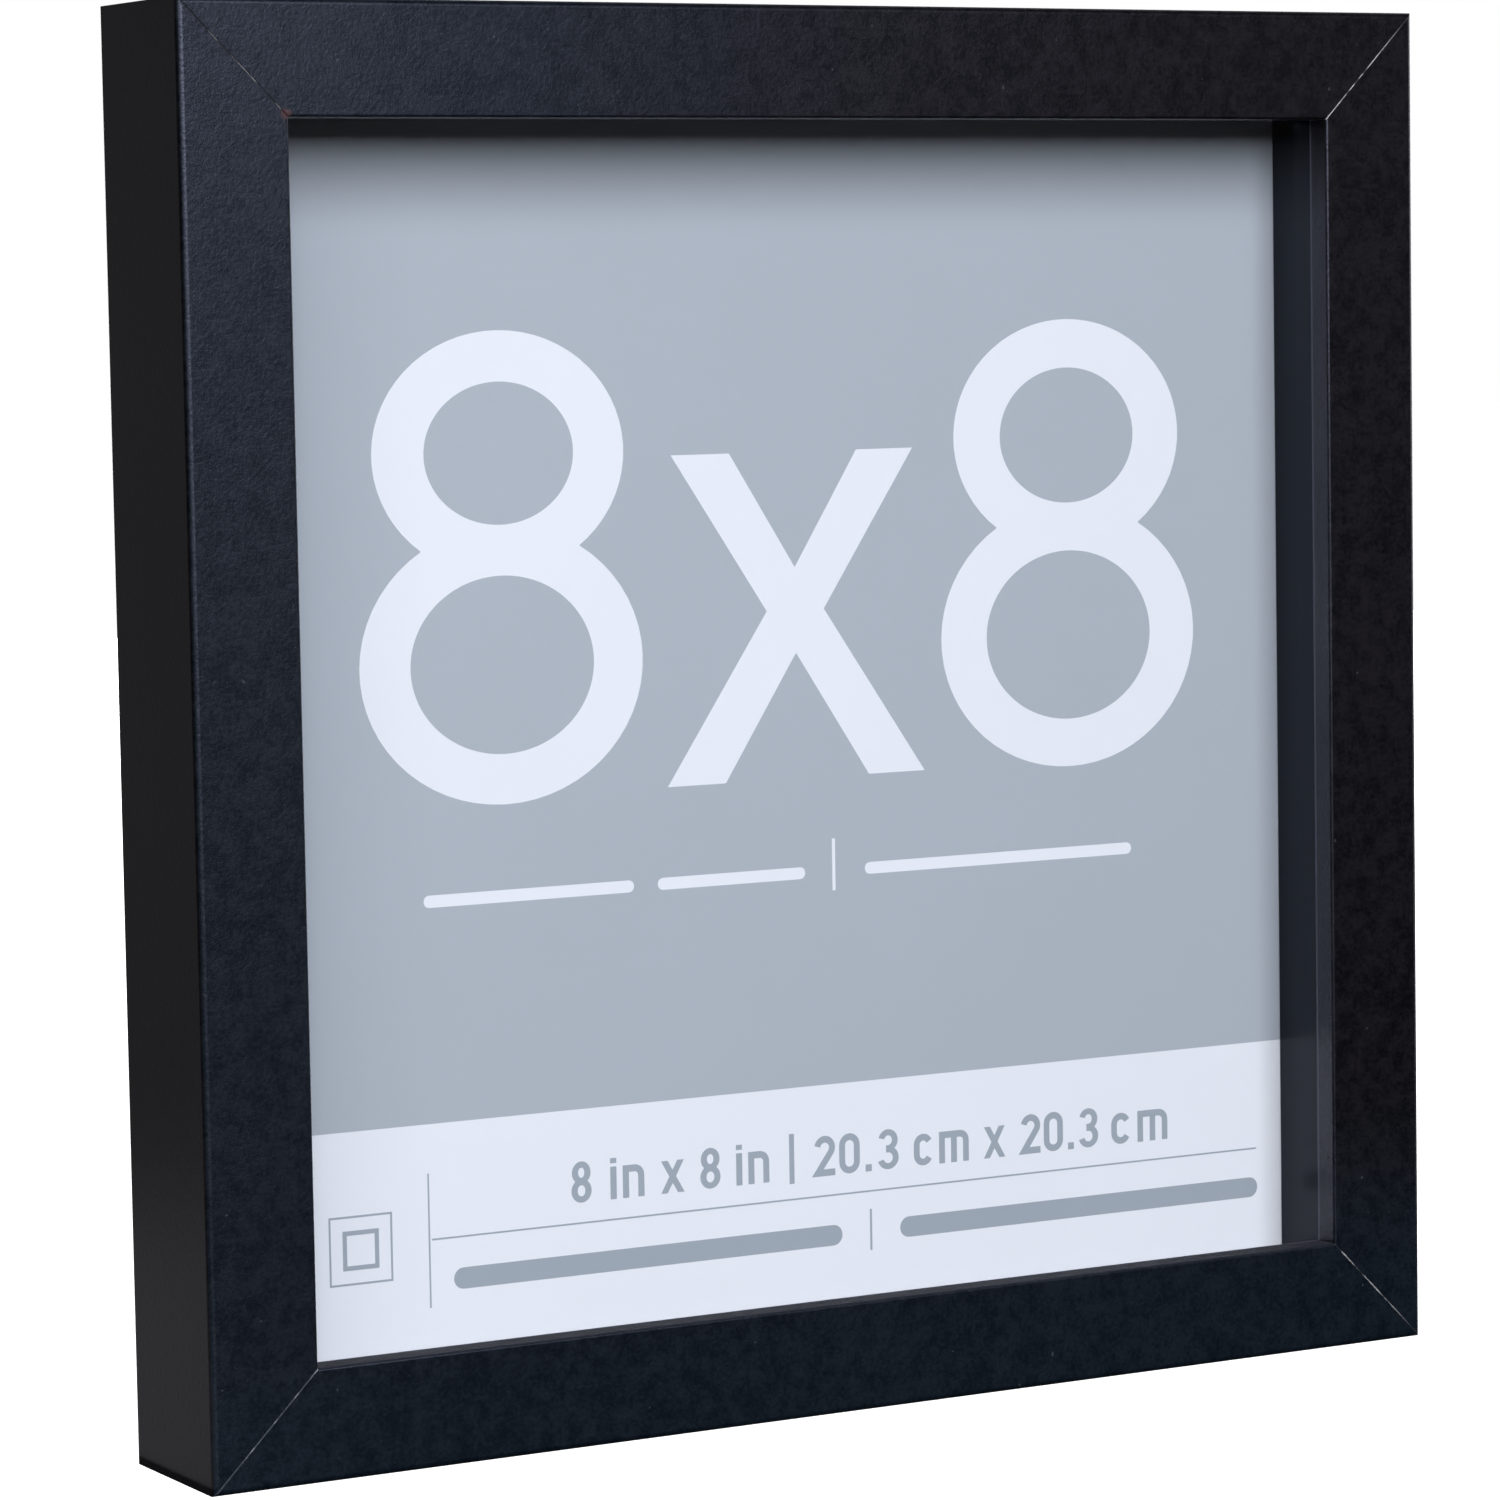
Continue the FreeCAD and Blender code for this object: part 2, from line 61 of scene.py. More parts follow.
RAIL_LOW, RAIL_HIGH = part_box("bottom_rail")
GLASS_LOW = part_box("glass_pane")[0]
SPACER_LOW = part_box("spacer_left")[0]
INSERT_LOW, INSERT_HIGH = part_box("printed_insert")

FRONT = RAIL_LOW.y
HALF_SIDE = RAIL_HIGH.x
MIDDLE_Z = (CAD_LOW.z + CAD_HIGH.z) / 2
FACE_WIDTH = RAIL_HIGH.z
LIP_BACK = GLASS_LOW.y
RABBET_WALL = HALF_SIDE + SPACER_LOW.x
PAPER = INSERT_LOW.y

# --------------------------------------------------------------------- node shorthands


def add(tree, kind, inputs=None, **settings):
    """A new node with its settings and its input values or links."""
    node = tree.nodes.new(kind)
    for key, value in settings.items():
        setattr(node, key, value)
    for key, value in (inputs or {}).items():
        feed(tree, value, node.inputs[key])
    return node


def feed(tree, value, socket):
    """Link a node's output to a socket, or set the socket to a plain value."""
    if isinstance(value, bpy.types.NodeSocket):
        tree.links.new(value, socket)
    else:
        socket.default_value = value


def calc(tree, operation, a, b=0.0, clamp=False):
    """One step of arithmetic on two values or node outputs."""
    node = add(tree, "ShaderNodeMath", operation=operation, use_clamp=clamp)
    feed(tree, a, node.inputs[0])
    feed(tree, b, node.inputs[1])
    return node.outputs[0]


def step(tree, value, low, high):
    """0 below low, 1 above high, and smooth between."""
    node = add(tree, "ShaderNodeMapRange", interpolation_type="SMOOTHSTEP")
    feed(tree, value, node.inputs["Value"])
    node.inputs["From Min"].default_value = low
    node.inputs["From Max"].default_value = high
    return node.outputs["Result"]


def span(tree, value, low, high):
    """A share from 0 to 1 turned into a value from low to high."""
    node = add(tree, "ShaderNodeMapRange")
    feed(tree, value, node.inputs["Value"])
    node.inputs["To Min"].default_value = low
    node.inputs["To Max"].default_value = high
    return node.outputs["Result"]


def blend(tree, share, a, b):
    """Colour a where share is 0, colour b where it is 1."""
    node = add(tree, "ShaderNodeMix", data_type="RGBA")
    feed(tree, share, node.inputs["Factor"])
    feed(tree, a, node.inputs["A"])
    feed(tree, b, node.inputs["B"])
    return node.outputs["Result"]


def noise(tree, place, cell, detail=2.0, rough=0.5, stretch=(1, 1, 1), shift=(0, 0, 0)):
    """Noise whose features are about cell metres across."""
    mapping = add(tree, "ShaderNodeMapping", {"Vector": place})
    mapping.inputs["Location"].default_value = shift
    mapping.inputs["Scale"].default_value = [1 / (cell * s) for s in stretch]
    node = add(tree, "ShaderNodeTexNoise", {"Vector": mapping.outputs[0]})
    node.inputs["Scale"].default_value = 1.0
    node.inputs["Detail"].default_value = detail
    node.inputs["Roughness"].default_value = rough
    return node.outputs["Fac"]


def bump(tree, height, distance, strength=1.0, normal=None):
    """A normal tilted by a height from 0 to 1 that stands for distance metres."""
    node = add(tree, "ShaderNodeBump", {"Height": height})
    node.inputs["Distance"].default_value = distance
    node.inputs["Strength"].default_value = strength
    if normal:
        feed(tree, normal, node.inputs["Normal"])
    return node.outputs["Normal"]


class Surface:
    """A material on a Principled shader, with the object's own coordinates to hand."""

    def __init__(self, name):
        self.material = bpy.data.materials.new(name)
        self.material.use_nodes = True
        self.tree = self.material.node_tree
        self.tree.nodes.clear()
        output = add(self.tree, "ShaderNodeOutputMaterial")
        self.shader = add(self.tree, "ShaderNodeBsdfPrincipled")
        self.tree.links.new(self.shader.outputs[0], output.inputs["Surface"])
        self.output = output
        coordinates = add(self.tree, "ShaderNodeTexCoord")
        self.place = coordinates.outputs["Object"]
        self.x, self.y, self.z = self.parts_of(self.place)
        self.normal_x, self.normal_y, self.normal_z = self.parts_of(
            coordinates.outputs["Normal"]
        )

    def parts_of(self, vector):
        """The three components of a vector socket."""
        node = add(self.tree, "ShaderNodeSeparateXYZ", {0: vector})
        return node.outputs[0], node.outputs[1], node.outputs[2]

    def set(self, **values):
        """Shader inputs by name, with _ for a space."""
        for key, value in values.items():
            feed(self.tree, value, self.shader.inputs[key.replace("_", " ")])

    def from_middle(self):
        """Distances from the frame's centre lines, across and up, never negative."""
        across = calc(self.tree, "ABSOLUTE", self.x)
        lifted = calc(self.tree, "SUBTRACT", self.z, MIDDLE_Z)
        return across, calc(self.tree, "ABSOLUTE", lifted)


# ------------------------------------------------------------------------ the materials

# Pairs are the darkest and the lightest tone of one surface, as linear RGBA.
WARM_BLACKS = ((0.0002, 0.0001, 0.0001, 1), (0.0054, 0.0040, 0.0044, 1))
# Painted sheen: the film's black made lighter and bluer where the front stands in reflected light.
PAINTED_SHEEN_BLACKS = ((0.0010, 0.0040, 0.0076, 1), (0.0044, 0.0098, 0.0150, 1))
SPECK = (0.1, 0.105, 0.12, 1)
WORN_FILM = (0.5, 0.49, 0.48, 1)
CHIPPED_FILM = (0.045, 0.02, 0.018, 1)
# Painted highlight along the lip's rear edge, just before the glass.
PAINTED_LIP_HIGHLIGHT = (0.04, 0.042, 0.055, 1)
BARE_BOARDS = ((0.27, 0.165, 0.085, 1), (0.5, 0.35, 0.2, 1))
BARE_BOARD_PATCH = (0.3, 0.2, 0.11, 1)
SPACER_BLACKS = ((0.0001, 0.0008, 0.0032, 1), (0.0007, 0.0022, 0.0062, 1))
FOAM_PAPERS = ((0.76, 0.76, 0.72, 1), (0.84, 0.84, 0.8, 1))
FOAM_CORES = ((0.55, 0.55, 0.52, 1), (0.8, 0.8, 0.77, 1))
HARDBOARD_BROWNS = ((0.15, 0.082, 0.04, 1), (0.4, 0.25, 0.13, 1))
PALE_FIBRE = (0.46, 0.31, 0.175, 1)
HARDBOARD_CLOUD = (0.2, 0.115, 0.06, 1)
GLASS_TINT = (0.985, 0.995, 0.99, 1)
ZINC = ((0.5, 0.5, 0.5, 1), (0.68, 0.69, 0.71, 1))
DULL_STEEL = ((0.3, 0.3, 0.3, 1), (0.46, 0.45, 0.44, 1))
PAPER_WHITES = ((0.79, 0.785, 0.84, 1), (0.83, 0.825, 0.88, 1))
FIELD_GREYS = ((0.403, 0.425, 0.475, 1), (0.428, 0.45, 0.505, 1))
LINE_GREYS = ((0.33, 0.36, 0.415, 1), (0.36, 0.39, 0.445, 1))


def foil_material():
    """Black film wrapped over fibreboard: a fine pebble, pale worn mitres in front, and
    the bare board where the film ends behind and inside the rabbet."""
    s = Surface("rail_foil")
    t = s.tree
    across, up = s.from_middle()
    inward = calc(t, "SUBTRACT", HALF_SIDE, calc(t, "MAXIMUM", across, up))
    mottle = noise(t, s.place, 2.6 * MM, 4.0, 0.6)
    grain = noise(t, s.place, 0.75 * MM, 3.0, 0.65)
    texture = calc(t, "ADD", mottle, grain)
    fibres = noise(t, s.place, 0.35 * MM, 3.0, 0.7, stretch=(3, 1, 3))

    worn = worn_mitre(s, across, up, inward)
    film = blend(t, worn, film_colour(s, texture), WORN_FILM)
    film = blend(t, corner_chip(s), film, CHIPPED_FILM)
    # Painted highlight: a pale line along the lip's rear edge, just before the glass.
    film = blend(t, painted_lip_highlight(s, inward), film, PAINTED_LIP_HIGHLIGHT)
    bare = bare_board(s, inward)
    s.set(Base_Color=blend(t, bare, film, board_colour(s, fibres)))

    film_rough = span(t, step(t, texture, 0.75, 1.25), 0.29, 0.328)
    dull = calc(t, "MAXIMUM", bare, dusty_top(s))
    rough = calc(t, "ADD", calc(t, "MULTIPLY", dull, 0.45), film_rough)
    s.set(Roughness=calc(t, "ADD", rough, calc(t, "MULTIPLY", worn, 0.3), clamp=True))
    pebble = bump(t, grain, 0.05 * MM, 0.9)
    s.set(Normal=bump(t, calc(t, "MULTIPLY", fibres, bare), 0.08 * MM, 0.6, pebble))
    s.set(Specular_IOR_Level=0.4, Specular_Tint=(0.93, 0.97, 1.25, 1))
    return s.material


def film_colour(s, texture):
    """The film's black, uneven and with a few pale specks: warm, with a painted sheen that makes
    the front lighter and bluer towards the foot and the left."""
    t = s.tree
    broad = noise(t, s.place, 45 * MM, 3.0)
    broad_shade = calc(t, "MULTIPLY", broad, 0.16)
    shade = calc(t, "ADD", broad_shade, calc(t, "MULTIPLY", texture, 0.42))
    shade = step(t, shade, 0.38, 0.62)
    warm = blend(t, shade, *WARM_BLACKS)
    painted_sheen = blend(t, shade, *PAINTED_SHEEN_BLACKS)
    facing = calc(t, "LESS_THAN", s.normal_y, -0.5)
    low_down = calc(t, "MULTIPLY", step(t, s.z, 50 * MM, 8 * MM), 0.75)
    leftward = calc(t, "MULTIPLY", step(t, s.x, 20 * MM, -70 * MM), 0.6)
    sheen_share = calc(t, "MULTIPLY", calc(t, "MAXIMUM", low_down, leftward), facing)
    # Painted sheen: the front is lighter and bluer towards the foot and the left.
    film = blend(t, sheen_share, warm, painted_sheen)
    specks = step(t, noise(t, s.place, 1.3 * MM, 1.0, 0.5, shift=(3, 1, 7)), 0.79, 0.83)
    return blend(t, calc(t, "MULTIPLY", specks, 0.3), film, SPECK)


def board_colour(s, fibres):
    """Bare fibreboard: pale and dark fibres, with broad darker patches."""
    t = s.tree
    patches = noise(t, s.place, 9 * MM, 3.0)
    flecks = step(t, fibres, 0.33, 0.67)
    board = blend(t, flecks, *BARE_BOARDS)
    return blend(t, calc(t, "MULTIPLY", patches, 0.4), board, BARE_BOARD_PATCH)


def worn_mitre(s, across, up, inward):
    """Where the film has worn along the mitres of the front face: a hairline, bright on
    the right hand corners, dull at the lower left and nearly whole at the upper left."""
    t = s.tree
    off_line = calc(t, "ABSOLUTE", calc(t, "SUBTRACT", across, up))
    wander = noise(t, s.place, 0.8 * MM, 3.0, 0.7)
    width = calc(t, "MULTIPLY", wander, 0.2 * MM)
    beyond = calc(t, "SUBTRACT", off_line, width)
    line = calc(t, "SUBTRACT", 1.0, step(t, beyond, -0.02 * MM, 0.07 * MM))
    left = calc(t, "LESS_THAN", s.x, 0.0)
    high_left = calc(t, "MULTIPLY", left, calc(t, "GREATER_THAN", s.z, MIDDLE_Z))
    spared_left = calc(t, "MULTIPLY", left, 0.4)
    spared = calc(t, "ADD", spared_left, calc(t, "MULTIPLY", high_left, 0.06))
    strength = calc(t, "SUBTRACT", 0.85, spared)
    patches = noise(t, s.place, 3.5 * MM, 2.0, 0.6, shift=(2.2, 0.0, 5.1))
    patches = calc(t, "SUBTRACT", patches, calc(t, "MULTIPLY", spared, 0.1))
    towards_opening = step(t, inward, 0.5 * MM, 9 * MM)
    rubbed = calc(t, "MULTIPLY", step(t, patches, 0.36, 0.56), towards_opening)
    front = calc(t, "LESS_THAN", s.normal_y, -0.6)
    share = calc(t, "MAXIMUM", calc(t, "MULTIPLY", rubbed, strength), 0.06)
    return calc(t, "MULTIPLY", calc(t, "MULTIPLY", line, share), front)


def corner_chip(s):
    """A small chip in the film at the upper left corner of the opening."""
    t = s.tree
    corner = HALF_SIDE - FACE_WIDTH + 0.5 * MM
    off = add(t, "ShaderNodeVectorMath", {0: s.place}, operation="DISTANCE")
    off.inputs[1].default_value = (-corner, FRONT, MIDDLE_Z + corner)
    ragged = calc(t, "MULTIPLY", noise(t, s.place, 0.6 * MM, 2.0, 0.7), 0.8 * MM)
    gone = calc(t, "SUBTRACT", off.outputs["Value"], ragged)
    return calc(t, "SUBTRACT", 1.0, step(t, gone, 0.2 * MM, 0.7 * MM))


def dusty_top(s):
    """1 on faces that look up, which gather fine dust and lose their gloss."""
    return calc(s.tree, "GREATER_THAN", s.normal_z, 0.7)


def painted_lip_highlight(s, inward):
    """Painted highlight: a faint pale line on the lip's inner face, just before the glass, where
    its rear edge catches the light.
    """
    t = s.tree
    on_lip = calc(t, "GREATER_THAN", inward, FACE_WIDTH - 0.1 * MM)
    last = calc(t, "GREATER_THAN", s.y, LIP_BACK - 0.45 * MM)
    return calc(t, "MULTIPLY", on_lip, last)


def bare_board(s, inward):
    """1 where the board shows: the rear faces inside the film's overlap, and the rabbet."""
    t = s.tree
    ragged = calc(t, "MULTIPLY", noise(t, s.place, 1.5 * MM, 3.0, 0.7), 0.8 * MM)
    past_overlap = step(t, calc(t, "SUBTRACT", inward, ragged), 3.2 * MM, 3.3 * MM)
    behind = calc(t, "GREATER_THAN", s.normal_y, 0.7)
    rear = calc(t, "MULTIPLY", past_overlap, behind)
    deep = calc(t, "GREATER_THAN", s.y, LIP_BACK + 0.05 * MM)
    inside = calc(t, "GREATER_THAN", inward, RABBET_WALL - 0.3 * MM)
    return calc(t, "MAXIMUM", rear, calc(t, "MULTIPLY", deep, inside))


def spacer_material():
    """Board strips wrapped in a smoother black film than the rails have."""
    s = Surface("spacer_wrap")
    t = s.tree
    fibre = noise(t, s.place, 0.5 * MM, 3.0, 0.6)
    cloud = noise(t, s.place, 14 * MM, 2.0)
    shade = calc(t, "ADD", calc(t, "MULTIPLY", fibre, 0.5), calc(t, "MULTIPLY", cloud, 0.5))
    s.set(Base_Color=blend(t, shade, *SPACER_BLACKS))
    dust = calc(t, "MULTIPLY", dusty_top(s), 0.4)
    s.set(Roughness=calc(t, "ADD", span(t, shade, 0.2, 0.3), dust))
    s.set(Specular_IOR_Level=0.22, Specular_Tint=(0.85, 0.96, 1.2, 1))
    s.set(Normal=bump(t, fibre, 0.008 * MM, 0.3))
    return s.material


def glass_material():
    """Clear float glass: it lets light straight through, and the face that the light
    meets first reflects some of it, by its angle."""
    s = Surface("glass")
    t = s.tree
    clear = add(t, "ShaderNodeBsdfTransparent")
    clear.inputs["Color"].default_value = GLASS_TINT
    haze = noise(t, s.place, 30 * MM, 3.0)
    gloss = add(t, "ShaderNodeBsdfGlossy", {"Roughness": span(t, haze, 0.02, 0.07)})
    angle = add(t, "ShaderNodeFresnel")
    angle.inputs["IOR"].default_value = 1.5
    leaving = add(t, "ShaderNodeNewGeometry").outputs["Backfacing"]
    share = calc(t, "MULTIPLY", angle.outputs[0], calc(t, "SUBTRACT", 1.0, leaving))
    mix = add(t, "ShaderNodeMixShader", {0: share})
    t.links.new(clear.outputs[0], mix.inputs[1])
    t.links.new(gloss.outputs[0], mix.inputs[2])
    t.links.new(mix.outputs[0], s.output.inputs["Surface"])
    t.nodes.remove(s.shader)
    return s.material


def paper_material(name, tones):
    """Satin printing paper, or an ink on it, between two near tones."""
    s = Surface(name)
    t = s.tree
    fibre = noise(t, s.place, 0.5 * MM, 4.0, 0.65)
    cloud = noise(t, s.place, 35 * MM, 2.0)
    shade = calc(t, "ADD", calc(t, "MULTIPLY", fibre, 0.4), calc(t, "MULTIPLY", cloud, 0.6))
    s.set(Base_Color=blend(t, shade, *tones))
    s.set(Roughness=span(t, fibre, 0.5, 0.62), Specular_IOR_Level=0.25)
    s.set(Normal=bump(t, fibre, 0.012 * MM, 0.4))
    return s.material


def foam_board_material():
    """White foam board: smooth paper faces, and an open-celled core at the edges."""
    s = Surface("foam_board")
    t = s.tree
    face = calc(t, "GREATER_THAN", calc(t, "ABSOLUTE", s.normal_y), 0.7)
    cells = add(t, "ShaderNodeTexVoronoi", {"Vector": s.place})
    cells.inputs["Scale"].default_value = 1 / (0.9 * MM)
    fibre = noise(t, s.place, 0.6 * MM, 3.0, 0.6)
    paper = blend(t, fibre, *FOAM_PAPERS)
    core = blend(t, cells.outputs["Distance"], *FOAM_CORES)
    s.set(Base_Color=blend(t, face, core, paper))
    s.set(Roughness=span(t, fibre, 0.6, 0.75))
    rim = calc(t, "MULTIPLY", calc(t, "SUBTRACT", 1.0, face), cells.outputs["Distance"])
    s.set(Normal=bump(t, rim, 0.3 * MM, 0.7))
    return s.material


def hardboard_material():
    """Brown hardboard: a pressed face with dark flecks and long pale fibres."""
    s = Surface("hardboard")
    t = s.tree
    fleck = noise(t, s.place, 0.8 * MM, 4.0, 0.75)
    fibre = noise(t, s.place, 0.5 * MM, 3.0, 0.6, stretch=(6, 1, 1.5))
    cloud = noise(t, s.place, 40 * MM, 3.0)
    flecks = step(t, fleck, 0.33, 0.67)
    board = blend(t, flecks, *HARDBOARD_BROWNS)
    board = blend(t, calc(t, "MULTIPLY", fibre, 0.5), board, PALE_FIBRE)
    board = blend(t, calc(t, "MULTIPLY", cloud, 0.35), board, HARDBOARD_CLOUD)
    s.set(Base_Color=board)
    s.set(Roughness=span(t, fleck, 0.55, 0.75))
    s.set(Normal=bump(t, calc(t, "ADD", fleck, fibre), 0.05 * MM, 0.5))
    return s.material


def steel_material(name, tones, stretch):
    """Zinc-plated steel: a drawn grain, a blotchy bloom and a few dull scuffs."""
    s = Surface(name)
    t = s.tree
    drawn = noise(t, s.place, 0.12 * MM, 2.0, 0.6, stretch=stretch)
    bloom = noise(t, s.place, 2.2 * MM, 3.0, 0.6)
    s.set(Base_Color=blend(t, bloom, *tones), Metallic=1.0)
    scuffs = step(t, noise(t, s.place, 0.9 * MM, 2.0, 0.6, shift=(4, 2, 9)), 0.6, 0.7)
    rough = calc(t, "ADD", span(t, drawn, 0.26, 0.42), calc(t, "MULTIPLY", scuffs, 0.18))
    s.set(Roughness=rough)
    s.set(Normal=bump(t, drawn, 0.01 * MM, 0.4))
    return s.material


def dress_cad():
    """Give each CAD node the material of its slot."""
    by_slot = {
        "rail_foil": foil_material(),
        "spacer_wrap": spacer_material(),
        "glass": glass_material(),
        "insert_paper": paper_material("insert_paper", PAPER_WHITES),
        "foam_board": foam_board_material(),
        "hardboard": hardboard_material(),
        "v_nail_steel": steel_material("v_nail_steel", DULL_STEEL, (1, 8, 1)),
        "button_steel": steel_material("button_steel", ZINC, (1, 1, 12)),
        "screw_steel": steel_material("screw_steel", ZINC, (1, 1, 1)),
        "hanger_steel": steel_material("hanger_steel", ZINC, (12, 1, 1)),
    }
    slots = {row["node"]: row["material_slot"] for row in frame["record"]["subparts"]}
    for name, node in frame["nodes"].items():
        node.data.materials.clear()
        node.data.materials.append(by_slot[slots[name]])


# ------------------------------------------------------------ the print on the insert

# Outlines are lists of (across, up) in millimetres on the paper, from the middle of the
# sheet's width and from the plane that the box stands on.
INK_THICKNESS = 0.04 * MM
INK_SUNK = 0.02 * MM
CURVE_STEPS = 48

SHORTEST_EDGE = 0.002

BAND_TOP = 50.9
EIGHT_CENTRES = (-51.1, 56.9)
UPPER_RING = {"up": 157.95, "outer": (22.6, 19.65), "hole": (13.4, 11.45)}
LOWER_RING = {"up": 124.0, "outer": (25.5, 22.5), "hole": (16.5, 14.35)}
BIG_X = {
    "middle": 3.2,
    "low": 102.5,
    "high": 156.7,
    "top": (23.0, 12.1),
    "foot": (24.6, 13.7),
    "notch": (5.45, 7.1),
}


def arc(centre, radii, start, end, steps=CURVE_STEPS):
    """Points on an ellipse from one angle to another, in degrees, both ends included."""
    points = []
    for i in range(steps + 1):
        a = math.radians(start + (end - start) * i / steps)
        points.append((centre[0] + radii[0] * math.cos(a), centre[1] + radii[1] * math.sin(a)))
    return points


def oval(centre, radii):
    return arc(centre, radii, 0, 360, 2 * CURVE_STEPS)[:-1]


def figure_eight(across, upper_ring, lower_ring):
    """The outline of an 8, two ovals run together, and its two holes."""
    upper = (across, upper_ring["up"])
    lower = (across, lower_ring["up"])
    waist, below = waist_angles(upper_ring, lower_ring)
    top = arc(upper, upper_ring["outer"], waist, 180 - waist)
    bottom = arc(lower, lower_ring["outer"], 180 - below, 360 + below)
    holes = [oval(upper, upper_ring["hole"]), oval(lower, lower_ring["hole"])]
    return [top + bottom[1:-1]] + holes


def waist_angles(upper_ring, lower_ring):
    """The angles, on the upper oval and on the lower one, where the two ovals meet."""
    low, high = -90.0, 0.0
    for _ in range(40):
        middle = (low + high) / 2
        a = math.radians(middle)
        across = upper_ring["outer"][0] * math.cos(a)
        up = upper_ring["up"] + upper_ring["outer"][1] * math.sin(a) - lower_ring["up"]
        across_share = across / lower_ring["outer"][0]
        up_share = up / lower_ring["outer"][1]
        if math.hypot(across_share, up_share) < 1:
            low = middle
        else:
            high = middle
    return high, math.degrees(math.atan2(up_share, across_share))


def multiply_sign(middle, low, high, top, foot, notch):
    """Two crossed strokes: top and foot are each (outer, inner) half widths, and notch
    is how far the inner corners stand from the crossing."""
    centre_up = low + (high - low) * foot[0] / (top[0] + foot[0])
    right = [
        (0, centre_up + notch[1]),
        (top[1], high),
        (top[0], high),
        (notch[0], centre_up),
        (foot[0], low),
        (foot[1], low),
        (0, centre_up - notch[1]),
    ]
    left = [(-across, up) for across, up in reversed(right[1:-1])]
    return [(middle + across, up) for across, up in right + left]


def bar(left, right, low, high, end=None):
    """A bar with round ends, or with square ones when end is 0."""
    radius = min(high - low, right - left) / 2 if end is None else end
    if radius == 0:
        return [(left, low), (right, low), (right, high), (left, high)]
    points = []
    for across, up, start in (
        (right - radius, high - radius, 0),
        (left + radius, high - radius, 90),
        (left + radius, low + radius, 180),
        (right - radius, low + radius, 270),
    ):
        points += arc((across, up), (radius, radius), start, start + 90, 6)
    return points


def print_shapes(name, outlines, material):
    """A thin closed layer of ink, just proud of the paper, filled between its outlines.
    An outline within another is a hole in it."""
    build = bmesh.new()
    front = PAPER - INK_THICKNESS + INK_SUNK
    for outline in outlines:
        corners = [p for i, p in enumerate(outline) if math.dist(p, outline[i - 1]) > SHORTEST_EDGE]
        verts = [build.verts.new((a * MM, front, u * MM)) for a, u in corners]
        for i, vert in enumerate(verts):
            build.edges.new((vert, verts[(i + 1) % len(verts)]))
    bmesh.ops.triangle_fill(build, edges=build.edges[:], use_beauty=True)
    back = bmesh.ops.extrude_face_region(build, geom=build.faces[:])
    moved = [v for v in back["geom"] if isinstance(v, bmesh.types.BMVert)]
    bmesh.ops.translate(build, verts=moved, vec=(0, INK_THICKNESS, 0))
    bmesh.ops.recalc_face_normals(build, faces=build.faces[:])
    mesh = bpy.data.meshes.new(name)
    build.to_mesh(mesh)
    build.free()
    mesh.materials.append(material)
    piece = bpy.data.objects.new(name, mesh)
    bpy.context.scene.collection.objects.link(piece)
    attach(piece, "back")
    return piece


# The size line's figures and units are drawn in strokes of one width. Each function
# gives outlines for a glyph whose lower left corner is at (0, 0).
STROKE = 1.15
DIGIT_HEIGHT = 6.8
SMALL_HEIGHT = 5.4
DOT_LOW = 5.95


def stroke(path):
    """The outline of a line of one width along a path, with square ends."""
    near, far = [], []
    for i, (x, y) in enumerate(path):
        before = Vector(path[max(i - 1, 0)])
        here = Vector((x, y))
        after = Vector(path[min(i + 1, len(path) - 1)])
        into = (here - before).normalized() if i else (after - here).normalized()
        out = (after - here).normalized() if i < len(path) - 1 else into
        along = (into + out).normalized()
        reach = STROKE / 2 / max(along.dot(into), 0.3)
        near.append((x - along.y * reach, y + along.x * reach))
        far.append((x + along.y * reach, y - along.x * reach))
    return near + far[::-1]


def glyph_two(width):
    radius = (width - STROKE) / 2
    bowl = arc((width / 2, DIGIT_HEIGHT - width / 2), (radius, radius), 170, -38, 16)
    return [stroke(bowl + [(0.6, STROKE / 2), (width, STROKE / 2)])]


def glyph_zero(width):
    hole = bar(STROKE, width - STROKE, STROKE, DIGIT_HEIGHT - STROKE)
    return [bar(0, width, 0, DIGIT_HEIGHT), hole]


def rings_for(width):
    """The two ovals that a small 8 or 3 is made from."""
    low_radii = (0.5 * width, 0.287 * DIGIT_HEIGHT)
    high_radii = (0.465 * width, 0.275 * DIGIT_HEIGHT)
    rings = []
    for radii, up in (
        (high_radii, DIGIT_HEIGHT - high_radii[1]),
        (low_radii, low_radii[1]),
    ):
        hole = (radii[0] - STROKE, radii[1] - 0.9 * STROKE)
        rings.append({"up": up, "outer": radii, "hole": hole})
    return rings


def glyph_eight(width):
    return figure_eight(width / 2, *rings_for(width))


def glyph_three(width):
    """The right side of an 8, cut open on the left, with a short bar at its waist."""
    upper_ring, lower_ring = rings_for(width)
    upper = (width / 2, upper_ring["up"])
    lower = (width / 2, lower_ring["up"])
    waist, below = waist_angles(upper_ring, lower_ring)
    outline = arc(upper, upper_ring["outer"], 165, waist, 16)
    outline += arc(lower, lower_ring["outer"], below, -165, 20)[1:]
    outline += arc(lower, lower_ring["hole"], -165, 75, 16)
    bar_low = lower_ring["up"] + lower_ring["hole"][1]
    bar_high = upper_ring["up"] - upper_ring["hole"][1]
    outline += [(0.4 * width, bar_low), (0.4 * width, bar_high)]
    outline += arc(upper, upper_ring["hole"], -75, 165, 16)
    return [outline]


def glyph_point(width):
    return [bar(0, width, 0, width, 0)]


def glyph_i(width):
    return [bar(0, width, 0, SMALL_HEIGHT, 0), bar(0, width, DOT_LOW, DIGIT_HEIGHT, 0)]


